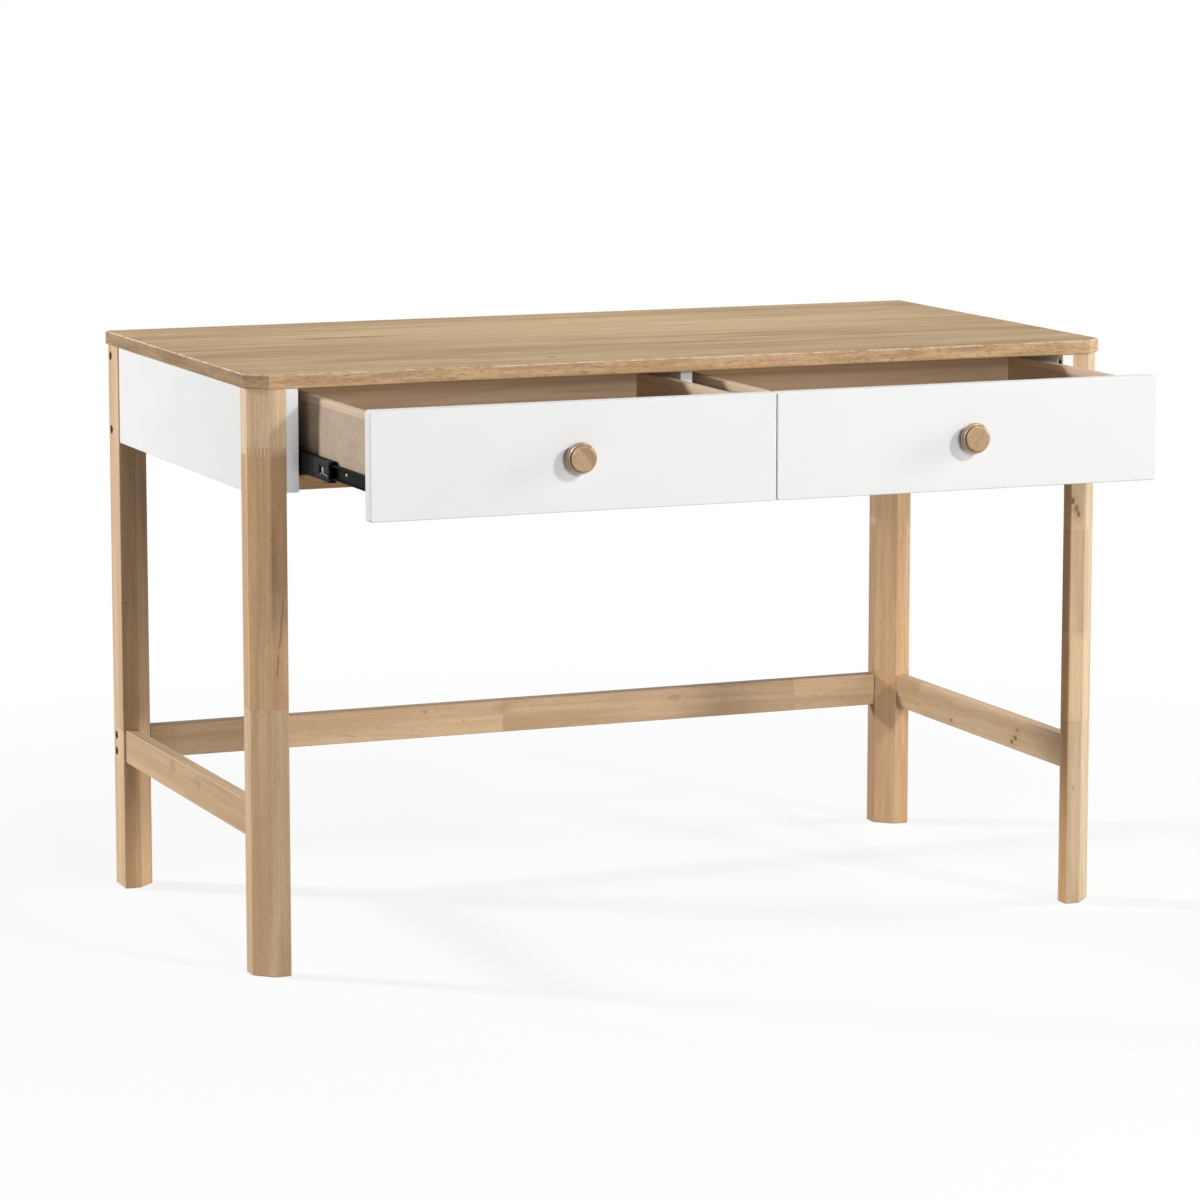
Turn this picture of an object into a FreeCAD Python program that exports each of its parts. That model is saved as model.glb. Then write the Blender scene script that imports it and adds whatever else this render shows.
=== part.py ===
import FreeCAD, Part
import math
import os
from FreeCAD import Vector

# Writing desk with two drawers, standing on the floor with both drawers pulled out.
# Millimetres. X runs to the right, Y from the front to the back and Z up.
# The pieces are drawn with Y counted from the front edge of the top. The last section
# moves the origin to the floor, under the middle of the desk with its open drawers.

# Tabletop
top_width = 1194.0
top_depth = 625.0
desk_height = 762.0
top_thickness = 18.0
top_corner_cut = 25.0
top_back_corner_cut = 2.5
top_edge_radius = 2.0
top_overhang = 3.0

# Legs
leg_size = 45.0
leg_cut = 23.0
leg_ease = 1.0

# Panels under the top
panel_height = 130.0
panel_ease = 0.6
side_panel_thickness = 18.0
side_panel_inset = 1.5
inner_panel_thickness = 16.0
back_panel_thickness = 18.0
back_panel_inset = 2.0
partition_thickness = 16.0
rail_height = 18.0
rail_depth = 70.0

# Stretchers
stretcher_height = 45.0
stretcher_bottom = 175.0
side_stretcher_thickness = 18.0
side_stretcher_inset = 3.0
rear_stretcher_thickness = 20.0
rear_stretcher_inset = 2.0
stretcher_ease = 1.0

# Bolts with barrel nuts, and cam fittings. Their round faces are drawn with flats,
# more of them on the heads and sinks that can be seen.
seen_flats = 20
hidden_flats = 10
socket_flats = 6
bolt_radius = 3.0
bolt_head_radius = 5.2
bolt_head_height = 5.0
bolt_socket_width = 4.0
bolt_socket_depth = 2.5
bolt_clearance = 0.3
bolt_sink_radius = 6.0
leg_bolt_sink = 8.0
panel_bolt_sink = 6.5
panel_bolt_length = 34.0
bolt_tip_clearance = 2.0
back_bolt_edge = 15.0
stretcher_bolt_spacing = 22.0
panel_bolt_edge = 12.0
panel_bolt_setback = 10.0
nut_radius = 5.0
nut_length = 14.0
nut_setback = 30.0
nut_clearance = 0.2
cam_radius = 7.5
cam_depth = 11.0
cam_clearance = 0.2
cam_edge = 13.0
cam_slot_width = 2.5
cam_slot_depth = 2.0
cam_setback = 126.0

# Drawer fronts and how far the drawers stand open
drawer_pull = 260.0
front_thickness = 18.0
front_setback = 1.0
front_top_gap = 1.5
front_drop = 5.5
front_side_gap = 1.75
front_middle_gap = 1.5
front_edge_radius = 1.5
front_corner_cut = 2.5
front_stop_gap = 3.0

# Drawer boxes
box_side_thickness = 12.0
box_back_thickness = 12.0
box_inside_depth = 350.0
box_top_drop = 8.0
box_below_slide = 1.8
box_edge_radius = 2.0
bottom_thickness = 5.0
bottom_rise = 9.0
groove_depth = 6.0
groove_clearance = 0.2

# Slides with three members, measured from the wall that carries the slide
slide_depth = 13.0
slide_height = 35.0
slide_rise = 37.5
slide_front_gap = 1.0
slide_wall = 1.2
slide_bend = 0.9
running_gap = 0.3
cabinet_flange = 11.5
cabinet_lip = 1.2
middle_web_start = 2.6
middle_flange_end = 11.4
drawer_flange_start = 5.2
cage_wall = 0.7
cage_length = 80.0
cage_setback_share = 0.37
outer_cage_flange_end = 8.2
inner_cage_flange_end = 10.5
ball_row_height = 2.6
middle_travel_share = 0.5
outer_cage_travel_share = 0.25
inner_cage_travel_share = 0.75

# Bumper at the front of each middle member, and the windows in the slides
bumper_length = 10.0
bumper_setback = 1.0
bumper_rise = 0.2
bumper_gap = 0.4
window_length = 12.0
window_height = 7.0
window_setback = 14.0
slot_length = 8.0
slot_height = 4.5
slot_place_shares = (0.27, 0.545, 0.82)

# Knobs, turned from wood
knob_flats = 60
knob_base_radius = 13.2
knob_flare_radius = 15.4
knob_flare_height = 5.0
knob_radius = 19.5
knob_widest_height = 8.0
knob_rim_height = 2.8
knob_shoulder_radius = 17.5
knob_shoulder_height = 2.8
knob_groove_radius = 15.4
knob_groove_height = 0.8
knob_face_radius = 16.0
knob_face_height = 1.4
knob_face_ease = 1.2
knob_screw_radius = 2.0
knob_screw_head_radius = 4.2
knob_screw_head_height = 2.4
knob_screw_grip = 12.0
knob_screw_clearance = 0.2

# Cuts run past the faces they open by this much
overrun = 1.0

# Planes that several pieces share
underside = desk_height - top_thickness
leg_outer = top_width / 2 - top_overhang
leg_inner = leg_outer - leg_size
leg_front = top_overhang
leg_back = top_depth - top_overhang
panel_bottom = underside - panel_height
bay_outer = leg_inner - inner_panel_thickness
bay_inner = partition_thickness / 2
back_rear = leg_back - back_panel_inset
back_front = back_rear - back_panel_thickness
stretcher_top = stretcher_bottom + stretcher_height
stretcher_rear = leg_back - rear_stretcher_inset
stretcher_front = stretcher_rear - rear_stretcher_thickness

front_closed = leg_front + front_setback
front_face = front_closed - drawer_pull
carcass_front = front_closed + front_thickness + front_stop_gap
front_top = underside - front_top_gap
front_bottom = panel_bottom - front_drop
front_outer = bay_outer - front_side_gap
front_inner = front_middle_gap / 2
front_centre = (front_outer + front_inner) / 2

slide_length = box_inside_depth
slide_axis = panel_bottom + slide_rise
cabinet_half = slide_height / 2
middle_half = cabinet_half - slide_wall - ball_row_height - 2 * running_gap
drawer_half = middle_half - slide_wall - ball_row_height - 2 * running_gap

box_front = front_face + front_thickness
box_outer = bay_outer - slide_depth
box_inner = bay_inner + slide_depth
box_top = front_top - box_top_drop
box_bottom = slide_axis - drawer_half - box_below_slide
box_back_front = box_front + box_inside_depth
box_rear = box_back_front + box_back_thickness
bottom_low = box_bottom + bottom_rise
bottom_high = bottom_low + bottom_thickness

knob_widest = knob_flare_height + knob_widest_height
knob_rim_end = knob_widest + knob_rim_height
knob_shoulder_end = knob_rim_end + knob_shoulder_height
knob_face_start = knob_shoulder_end + knob_groove_height
knob_face_end = knob_face_start + knob_face_height
knob_height = knob_face_end + knob_face_ease
knob_axis = (front_top + front_bottom) / 2

# Angles in degrees of the corners between flats
seen_turns = [360 * step / seen_flats for step in range(seen_flats)]
hidden_turns = [360 * step / hidden_flats for step in range(hidden_flats)]
socket_turns = [360 * step / socket_flats for step in range(socket_flats)]
knob_turns = [360 * step / knob_flats for step in range(knob_flats)]

X_AXIS = Vector(1, 0, 0)
Y_AXIS = Vector(0, 1, 0)
Z_AXIS = Vector(0, 0, 1)


# Shapes used by several pieces

def board(x_span, y_span, z_span):
    """Plain board between two planes on each axis."""
    low = Vector(min(x_span), min(y_span), min(z_span))
    sizes = [max(span) - min(span) for span in (x_span, y_span, z_span)]
    return Part.makeBox(*sizes, low)


def flat_face(points):
    """Flat face with straight sides between its corners."""
    return Part.Face(Part.makePolygon(points + points[:1]))


def extrude(points, run):
    """Solid swept along the vector run from a flat outline."""
    return flat_face(points).extrude(run)


def edges_along(shape, axis):
    """Straight edges that are parallel to an axis."""
    found = []
    for edge in shape.Edges:
        along = edge.tangentAt(edge.FirstParameter)
        if isinstance(edge.Curve, Part.Line) and abs(along.dot(axis)) > 1 - 1e-6:
            found.append(edge)
    return found


def edges_at(shape, axis, level):
    """Edges that lie in the plane at a level on an axis."""
    near = 1e-6 * desk_height
    return [edge for edge in shape.Edges
            if all(abs(vertex.Point.dot(axis) - level) < near for vertex in edge.Vertexes)]


def ring(radius, centre, axis, turns):
    """Corners of a round outline across an axis that lies flat, at the angles in turns."""
    return [centre + FreeCAD.Rotation(axis, turn).multVec(Z_AXIS * radius) for turn in turns]


def rod(radius, length, start, axis, turns):
    """Round bar or hole from a start point along an axis that lies flat."""
    return extrude(ring(radius, start, axis, turns), axis * length)


def eased_board(x_span, y_span, z_span, ease):
    """Board whose arrises are all taken off at 45 degrees."""
    plain = board(x_span, y_span, z_span)
    return plain.makeChamfer(ease, plain.Edges)


def mirrored(shape):
    """The same piece on the other side of the desk."""
    return shape.mirror(Vector(0, 0, 0), X_AXIS)


# Bolts, nuts and cams

def leg_bolt_places():
    """Y and Z of the bolts through each rear leg, the back panel's first."""
    panel_y = (back_front + back_rear) / 2
    rail_y = (stretcher_front + stretcher_rear) / 2
    rail_z = (stretcher_bottom + stretcher_top) / 2
    spread = stretcher_bolt_spacing / 2
    return [(panel_y, underside - back_bolt_edge), (panel_y, panel_bottom + back_bolt_edge),
            (rail_y, rail_z + spread), (rail_y, rail_z - spread)]


def panel_bolt_places():
    """Y and Z of the bolts from each inner panel into its front leg."""
    y = leg_front + panel_bolt_setback
    return [(y, underside - panel_bolt_edge), (y, panel_bottom + panel_bolt_edge)]


def cam_places():
    """Y and Z of the cams in each inner panel."""
    return [(y, underside - cam_edge) for y in (cam_setback, back_front - cam_setback)]


leg_bolt_length = leg_size - leg_bolt_sink + nut_setback + nut_radius + bolt_tip_clearance


def bolt(length):
    """Socket-head bolt with its head's underside at the origin and its shank along +X."""
    head = rod(bolt_head_radius, bolt_head_height, Vector(-bolt_head_height, 0, 0), X_AXIS, seen_turns)
    shank = rod(bolt_radius, length, Vector(0, 0, 0), X_AXIS, hidden_turns)
    start = Vector(-bolt_head_height - overrun, 0, 0)
    socket_radius = bolt_socket_width / 2 / math.cos(math.pi / socket_flats)
    socket = rod(socket_radius, bolt_socket_depth + overrun, start, X_AXIS, socket_turns)
    return head.fuse(shank).removeSplitter().cut(socket)


def bolt_hole(sink_face, sink, length):
    """Room for a bolt along -X, with a flat-bottomed sink for its head."""
    sink_floor = sink_face - sink
    wide = rod(bolt_sink_radius, sink + overrun, Vector(sink_floor, 0, 0), X_AXIS, seen_turns)
    reach = length + bolt_tip_clearance
    start = Vector(sink_floor - reach, 0, 0)
    narrow = rod(bolt_radius + bolt_clearance, reach, start, X_AXIS, hidden_turns)
    return wide.fuse(narrow)


def nut_hole(y_open, y):
    """Blind hole for a barrel nut, from the rear face at y_open to past its middle at y."""
    deep = y_open - y + nut_length / 2 + nut_clearance
    start = Vector(leg_inner - nut_setback, y_open - deep, 0)
    return rod(nut_radius + nut_clearance, deep + overrun, start, Y_AXIS, seen_turns)


def barrel_nut(y, z):
    """Barrel nut across a bolt, with the bolt's hole through it."""
    end = Vector(leg_inner - nut_setback, y - nut_length / 2, z)
    barrel = rod(nut_radius, nut_length, end, Y_AXIS, seen_turns)
    reach = nut_radius + overrun
    start = Vector(leg_inner - nut_setback - reach, y, z)
    hole = rod(bolt_radius + bolt_clearance, 2 * reach, start, X_AXIS, hidden_turns)
    return barrel.cut(hole)


def leg_bolts():
    """Bolts through the rear legs, with their heads sunk in the outer faces."""
    one = bolt(leg_bolt_length).mirror(Vector(0, 0, 0), X_AXIS)
    right = [one.translated(Vector(leg_outer - leg_bolt_sink, y, z)) for y, z in leg_bolt_places()]
    return Part.makeCompound(right + [mirrored(shape) for shape in right])


def barrel_nuts():
    """Nuts in the back panel and in the rear stretcher."""
    right = [barrel_nut(y, z) for y, z in leg_bolt_places()]
    return Part.makeCompound(right + [mirrored(shape) for shape in right])


def panel_bolts():
    """Bolts from the inner panels into the front legs, with sunk heads."""
    one = bolt(panel_bolt_length)
    right = [one.translated(Vector(bay_outer + panel_bolt_sink, y, z)) for y, z in panel_bolt_places()]
    return Part.makeCompound(right + [mirrored(shape) for shape in right])


def cam(y, z):
    """Cam fitting, flush with the inner panel's face, with a slot for the driver."""
    body = rod(cam_radius, cam_depth, Vector(bay_outer, y, z), X_AXIS, seen_turns)
    half_slot = cam_slot_width / 2
    reach = cam_radius + overrun
    slot = board((bay_outer - overrun, bay_outer + cam_slot_depth), (y - reach, y + reach),
                 (z - half_slot, z + half_slot))
    return body.cut(slot)


def panel_cams():
    """Cams in both inner panels."""
    right = [cam(y, z) for y, z in cam_places()]
    return Part.makeCompound(right + [mirrored(shape) for shape in right])


# Top, legs and stretchers

def tabletop():
    """Board with its front corners cut off, its back corners eased and its edges rounded."""
    half = top_width / 2
    cut = top_corner_cut
    ease = top_back_corner_cut
    right = [(half - cut, 0), (half, cut), (half, top_depth - ease), (half - ease, top_depth)]
    left = [(-x, y) for x, y in reversed(right)]
    slab = extrude([Vector(x, y, underside) for x, y in right + left], Vector(0, 0, top_thickness))
    rims = edges_at(slab, Z_AXIS, underside) + edges_at(slab, Z_AXIS, desk_height)
    return slab.makeFillet(top_edge_radius, rims)


def leg(points):
    """Leg with eased arrises and an eased foot."""
    post = extrude(points, Vector(0, 0, underside))
    return post.makeChamfer(leg_ease, edges_along(post, Z_AXIS) + edges_at(post, Z_AXIS, 0))


def front_right_leg():
    """Front leg, cut at its outer front and inner rear corners, bored for the panel's bolts."""
    rear = leg_front + leg_size
    points = [Vector(leg_inner, leg_front, 0), Vector(leg_outer - leg_cut, leg_front, 0),
              Vector(leg_outer, leg_front + leg_cut, 0), Vector(leg_outer, rear, 0),
              Vector(leg_inner + leg_cut, rear, 0), Vector(leg_inner, rear - leg_cut, 0)]
    post = leg(points)
    bore = bolt_hole(-bay_outer, panel_bolt_sink, panel_bolt_length)
    bore = mirrored(bore)
    for y, z in panel_bolt_places():
        post = post.cut(bore.translated(Vector(0, y, z)))
    return post


def rear_right_leg():
    """Rear leg, cut at its inner front corner, bored for the bolts with sinks in its outer face."""
    front = leg_back - leg_size
    points = [Vector(leg_inner, front + leg_cut, 0), Vector(leg_inner + leg_cut, front, 0),
              Vector(leg_outer, front, 0), Vector(leg_outer, leg_back, 0), Vector(leg_inner, leg_back, 0)]
    post = leg(points)
    bore = bolt_hole(leg_outer, leg_bolt_sink, leg_bolt_length)
    for y, z in leg_bolt_places():
        post = post.cut(bore.translated(Vector(0, y, z)))
    return post


def bored_for_leg_bolts(shape, places, y_open):
    """Ends bored for the leg bolts, with nut holes from the rear face at y_open."""
    bore = bolt_hole(leg_outer, leg_bolt_sink, leg_bolt_length)
    for y, z in places:
        room = bore.translated(Vector(0, y, z)).fuse(nut_hole(y_open, y).translated(Vector(0, 0, z)))
        shape = shape.cut(room).cut(mirrored(room))
    return shape


def right_stretcher():
    """Side stretcher between the front and rear legs."""
    outer = leg_outer - side_stretcher_inset
    return eased_board((outer - side_stretcher_thickness, outer),
                       (leg_front + leg_size, leg_back - leg_size),
                       (stretcher_bottom, stretcher_top), stretcher_ease)


def rear_stretcher():
    """Stretcher between the rear legs, with nut holes in its rear face."""
    bar = eased_board((-leg_inner, leg_inner), (stretcher_front, stretcher_rear),
                      (stretcher_bottom, stretcher_top), stretcher_ease)
    return bored_for_leg_bolts(bar, leg_bolt_places()[2:], stretcher_rear)


# Panels

def right_side_panel():
    """White panel between the front and rear legs."""
    outer = leg_outer - side_panel_inset
    return eased_board((outer - side_panel_thickness, outer),
                       (leg_front + leg_size, leg_back - leg_size),
                       (panel_bottom, underside), panel_ease)


def right_inner_panel():
    """White panel that carries the slides, bored for its bolts and cams."""
    panel = eased_board((bay_outer, leg_inner), (leg_front, back_front),
                        (panel_bottom, underside), panel_ease)
    bore = mirrored(bolt_hole(-bay_outer, panel_bolt_sink, panel_bolt_length))
    for y, z in panel_bolt_places():
        panel = panel.cut(bore.translated(Vector(0, y, z)))
    for y, z in cam_places():
        start = Vector(bay_outer - overrun, y, z)
        seat = rod(cam_radius + cam_clearance, cam_depth + overrun, start, X_AXIS, seen_turns)
        panel = panel.cut(seat)
    return panel


def back_panel():
    """White panel between the rear legs, with nut holes in its rear face."""
    panel = eased_board((-leg_inner, leg_inner), (back_front, back_rear),
                        (panel_bottom, underside), panel_ease)
    return bored_for_leg_bolts(panel, leg_bolt_places()[:2], back_rear)


def front_rail():
    """Flat rail under the drawers, between the inner panels."""
    return eased_board((-bay_outer, bay_outer), (carcass_front, carcass_front + rail_depth),
                       (panel_bottom, panel_bottom + rail_height), panel_ease)


def centre_partition():
    """Board between the drawers, notched over the front rail."""
    rail_back = carcass_front + rail_depth
    rail_top = panel_bottom + rail_height
    points = [Vector(-bay_inner, carcass_front, rail_top), Vector(-bay_inner, rail_back, rail_top),
              Vector(-bay_inner, rail_back, panel_bottom), Vector(-bay_inner, back_front, panel_bottom),
              Vector(-bay_inner, back_front, underside), Vector(-bay_inner, carcass_front, underside)]
    return extrude(points, Vector(partition_thickness, 0, 0))


# Drawers, drawn on the right side and open

def drawer_front():
    """White front with rounded front arrises, a groove for the bottom and the knob screw's hole."""
    slab = board((front_inner, front_outer), (front_face, box_front), (front_bottom, front_top))
    slab = slab.makeChamfer(front_corner_cut, edges_along(slab, Y_AXIS))
    slab = slab.makeFillet(front_edge_radius, edges_at(slab, Y_AXIS, front_face))
    groove = board((box_inner + box_side_thickness - groove_depth,
                    box_outer - box_side_thickness + groove_depth),
                   (box_front - groove_depth, box_front + overrun),
                   (bottom_low - groove_clearance, bottom_high + groove_clearance))
    hole = rod(knob_screw_radius + knob_screw_clearance, front_thickness + 2 * overrun,
               Vector(front_centre, front_face - overrun, knob_axis), Y_AXIS, hidden_turns)
    return slab.cut(groove).cut(hole)


def box_side(outer_face, inner_face):
    """Drawer side with a groove for the bottom and a rounded top edge."""
    inward = math.copysign(groove_depth, outer_face - inner_face)
    low = bottom_low - groove_clearance
    high = bottom_high + groove_clearance
    points = [(outer_face, box_bottom), (inner_face, box_bottom), (inner_face, low),
              (inner_face + inward, low), (inner_face + inward, high), (inner_face, high),
              (inner_face, box_top), (outer_face, box_top)]
    side = extrude([Vector(x, box_front, z) for x, z in points], Vector(0, box_rear - box_front, 0))
    rims = [edge for edge in edges_along(side, Y_AXIS) if abs(edge.Vertexes[0].Z - box_top) < overrun]
    return side.makeFillet(box_edge_radius, rims)


def drawer_outer_side():
    """Drawer side next to the inner panel."""
    return box_side(box_outer, box_outer - box_side_thickness)


def drawer_inner_side():
    """Drawer side next to the partition."""
    return box_side(box_inner, box_inner + box_side_thickness)


def drawer_back():
    """Drawer back between the sides, grooved for the bottom, with a rounded top edge."""
    low = bottom_low - groove_clearance
    high = bottom_high + groove_clearance
    start = box_inner + box_side_thickness
    points = [(box_rear, box_bottom), (box_rear, box_top), (box_back_front, box_top), (box_back_front, high),
              (box_back_front + groove_depth, high), (box_back_front + groove_depth, low),
              (box_back_front, low), (box_back_front, box_bottom)]
    width = box_outer - box_side_thickness - start
    back = extrude([Vector(start, y, z) for y, z in points], Vector(width, 0, 0))
    rims = [edge for edge in edges_along(back, X_AXIS) if abs(edge.Vertexes[0].Z - box_top) < overrun]
    return back.makeFillet(box_edge_radius, rims)


def drawer_bottom():
    """Thin board held in the grooves of the front, sides and back."""
    tongue = groove_depth - groove_clearance
    return board((box_inner + box_side_thickness - tongue, box_outer - box_side_thickness + tongue),
                 (box_front - tongue, box_back_front + tongue), (bottom_low, bottom_high))


def knob_place(height):
    """Point on the knob's axis, at a height out from the drawer front."""
    return Vector(front_centre, front_face - height, knob_axis)


def knob():
    """Turned knob: flared neck, rim, shoulder, groove and a flat face with an eased edge."""
    section = [(knob_base_radius, 0), (knob_flare_radius, knob_flare_height),
               (knob_radius, knob_widest), (knob_radius, knob_rim_end),
               (knob_shoulder_radius, knob_shoulder_end), (knob_groove_radius, knob_shoulder_end),
               (knob_face_radius, knob_face_start), (knob_face_radius, knob_face_end),
               (knob_face_radius - knob_face_ease, knob_height)]
    rings = [ring(radius, knob_place(height), Y_AXIS, knob_turns) for radius, height in section]
    faces = [flat_face(rings[0]), flat_face(rings[-1])]
    for low, high in zip(rings, rings[1:]):
        for step in range(knob_flats):
            faces.append(flat_face([low[step - 1], low[step], high[step], high[step - 1]]))
    turned = Part.Solid(Part.Shell(faces))
    depth = knob_screw_grip + knob_screw_clearance
    hole = rod(knob_screw_radius + knob_screw_clearance, depth + overrun,
               knob_place(depth), Y_AXIS, hidden_turns)
    return turned.cut(hole)


def knob_screw():
    """Screw from inside the drawer through the front into the knob."""
    head = rod(knob_screw_head_radius, knob_screw_head_height,
               Vector(front_centre, box_front, knob_axis), Y_AXIS, seen_turns)
    length = front_thickness + knob_screw_grip
    shank = rod(knob_screw_radius, length,
                Vector(front_centre, box_front - length, knob_axis), Y_AXIS, hidden_turns)
    return head.fuse(shank).removeSplitter()


# Slides. Their sections are drawn as depth from the carrying wall and height from the slide's axis.

def slide_y(pull_share):
    """Front end of a slide member that has come out by a share of the drawer's pull."""
    return front_closed + front_thickness + slide_front_gap - drawer_pull * pull_share


def channel(start, end, half, lip):
    """Section of a folded channel whose web is at depth start and whose flanges reach depth end."""
    fold = math.copysign(slide_wall, end - start)
    inside = half - slide_wall
    upper = [(start, half), (end, half), (end, inside - lip), (end - fold, inside - lip),
             (end - fold, inside), (start + fold, inside)]
    if lip == 0:
        upper = [(start, half), (end, half), (end, inside), (start + fold, inside)]
    lower = [(depth, -height) for depth, height in reversed(upper)]
    return upper + lower


def sweep(section, front, length):
    """Member with a section, from its front end backwards, on a wall at X zero."""
    points = [Vector(-depth, front, slide_axis + height) for depth, height in section]
    return extrude(points, Vector(0, length, 0))


def folded(section, front, length, web_depth, half):
    """Channel member whose folds at the web are bent, not sharp."""
    plain = sweep(section, front, length)
    folds = [edge for edge in edges_along(plain, Y_AXIS)
             if abs(edge.Vertexes[0].X + web_depth) < slide_wall / 2
             and abs(edge.Vertexes[0].Z - slide_axis) > half - slide_wall / 2]
    return plain.makeChamfer(slide_bend, folds)


def slotted(member, front, web_depth):
    """Web with a row of slots for the screws and for the tool that sets them."""
    half_height = slot_height / 2
    half_length = slot_length / 2
    reach = slide_wall + overrun
    for share in slot_place_shares:
        middle = front + slide_length * share
        cut = board((-web_depth - reach, -web_depth + reach), (middle - half_length, middle + half_length),
                    (slide_axis - half_height, slide_axis + half_height))
        cut = cut.makeChamfer(half_height * (2 - math.sqrt(2)), edges_along(cut, X_AXIS))
        member = member.cut(cut)
    return member


def cabinet_member():
    """Fixed channel on the carrying wall, with lips that hold the ball row."""
    front = slide_y(0)
    section = channel(0, cabinet_flange, cabinet_half, cabinet_lip)
    member = folded(section, front, slide_length, 0, cabinet_half)
    return slotted(member, front, 0)


def middle_member():
    """Channel that runs inside the cabinet member, with a window near its front end."""
    front = slide_y(middle_travel_share) + bumper_setback + bumper_length
    length = slide_length - bumper_setback - bumper_length
    section = channel(middle_web_start, middle_flange_end, middle_half, 0)
    member = folded(section, front, length, middle_web_start, middle_half)
    half_height = window_height / 2
    window_front = front + window_setback
    window = board((-middle_web_start - slide_wall - overrun, -middle_web_start + overrun),
                   (window_front, window_front + window_length),
                   (slide_axis - half_height, slide_axis + half_height))
    return member.cut(window)


def drawer_member():
    """Channel on the drawer side, open towards the carrying wall."""
    front = slide_y(1)
    section = channel(slide_depth, drawer_flange_start, drawer_half, 0)
    member = folded(section, front, slide_length, slide_depth, drawer_half)
    return slotted(member, front, slide_depth)


def cage(web_start, flange_end, row_half, travel_share):
    """Ball cage: a thin web with a bar along each ball row."""
    inside = row_half - ball_row_height
    upper = [(web_start, row_half), (flange_end, row_half), (flange_end, inside),
             (web_start + cage_wall, inside)]
    lower = [(depth, -height) for depth, height in reversed(upper)]
    front = slide_y(travel_share) + slide_length * cage_setback_share
    return sweep(upper + lower, front, cage_length)


def outer_cage():
    """Cage between the cabinet member and the middle member."""
    gap = (middle_web_start - slide_wall - cage_wall) / 2
    row_half = cabinet_half - slide_wall - running_gap
    return cage(slide_wall + gap, outer_cage_flange_end, row_half, outer_cage_travel_share)


def inner_cage():
    """Cage between the middle member and the drawer member."""
    web_back = middle_web_start + slide_wall
    gap = (drawer_flange_start - web_back - cage_wall) / 2
    row_half = middle_half - slide_wall - running_gap
    return cage(web_back + gap, inner_cage_flange_end, row_half, inner_cage_travel_share)


def bumper():
    """Plastic block at the front end of the middle member, open for the drawer member."""
    half = middle_half + bumper_rise
    inside = drawer_half + bumper_gap
    web_start = slide_wall + bumper_gap
    web_end = drawer_flange_start - bumper_gap
    upper = [(web_start, half), (middle_flange_end, half), (middle_flange_end, inside), (web_end, inside)]
    lower = [(depth, -height) for depth, height in reversed(upper)]
    return sweep(upper + lower, slide_y(middle_travel_share) + bumper_setback, bumper_length)


def on_outside_wall(shape):
    """A slide piece on the right inner panel."""
    return shape.translated(Vector(bay_outer, 0, 0))


def on_inside_wall(shape):
    """A slide piece on the right face of the partition."""
    return mirrored(shape).translated(Vector(bay_inner, 0, 0))


def both_walls(shape):
    """A slide piece on both walls of the right bay, as a group of separate solids."""
    return Part.makeCompound([on_outside_wall(shape), on_inside_wall(shape)])


# Export, with the origin on the floor under the middle of the whole desk

front_reach = knob_height - front_face
origin_shift = Vector(0, (front_reach - top_depth) / 2, 0)


def save(name, shape):
    """Write one piece as its own file."""
    shape.translated(origin_shift).exportStep("parts/" + name + ".step")


def save_both(name, shape):
    """Write a right-hand piece and its mirror image; name has a gap for the side."""
    save(name.format("right"), shape)
    save(name.format("left"), mirrored(shape))


os.makedirs("parts", exist_ok=True)

save("tabletop", tabletop())
save_both("front_{}_leg", front_right_leg())
save_both("rear_{}_leg", rear_right_leg())
save_both("{}_stretcher", right_stretcher())
save("rear_stretcher", rear_stretcher())
save_both("{}_side_panel", right_side_panel())
save_both("{}_inner_panel", right_inner_panel())
save("back_panel", back_panel())
save("front_rail", front_rail())
save("centre_partition", centre_partition())
save("leg_bolts", leg_bolts())
save("barrel_nuts", barrel_nuts())
save("panel_bolts", panel_bolts())
save("panel_cams", panel_cams())

save_both("{}_drawer_front", drawer_front())
save_both("{}_drawer_outer_side", drawer_outer_side())
save_both("{}_drawer_inner_side", drawer_inner_side())
save_both("{}_drawer_back", drawer_back())
save_both("{}_drawer_bottom", drawer_bottom())
save_both("{}_knob", knob())
save_both("{}_knob_screw", knob_screw())

members = {"cabinet": cabinet_member(), "middle": middle_member(), "drawer": drawer_member()}
for role, member in members.items():
    save_both("{}_outside_slide_" + role, on_outside_wall(member))
    save_both("{}_inside_slide_" + role, on_inside_wall(member))
save_both("{}_slide_bumpers", both_walls(bumper()))
save_both("{}_outer_cages", both_walls(outer_cage()))
save_both("{}_inner_cages", both_walls(inner_cage()))
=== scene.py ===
import math

import bmesh
import bpy
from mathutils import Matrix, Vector


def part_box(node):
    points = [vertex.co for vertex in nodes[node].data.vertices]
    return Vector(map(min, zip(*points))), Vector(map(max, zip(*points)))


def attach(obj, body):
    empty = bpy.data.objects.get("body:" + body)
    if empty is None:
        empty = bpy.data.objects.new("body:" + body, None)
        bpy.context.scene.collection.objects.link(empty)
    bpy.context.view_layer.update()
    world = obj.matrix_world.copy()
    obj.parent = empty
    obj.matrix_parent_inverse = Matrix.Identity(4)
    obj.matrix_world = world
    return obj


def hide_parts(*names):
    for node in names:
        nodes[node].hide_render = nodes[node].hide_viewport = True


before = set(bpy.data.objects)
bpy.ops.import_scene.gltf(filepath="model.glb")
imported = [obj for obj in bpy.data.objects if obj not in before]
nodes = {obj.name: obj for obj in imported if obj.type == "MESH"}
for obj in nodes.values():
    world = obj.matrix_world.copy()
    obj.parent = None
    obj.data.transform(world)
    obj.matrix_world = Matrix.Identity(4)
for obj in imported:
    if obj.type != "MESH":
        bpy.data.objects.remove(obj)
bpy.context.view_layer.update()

SIDES = ("left", "right")
WALLS = ("outside", "inside")


# Node trees. The value of an input is a number, a colour, a vector or another node's output.

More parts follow.
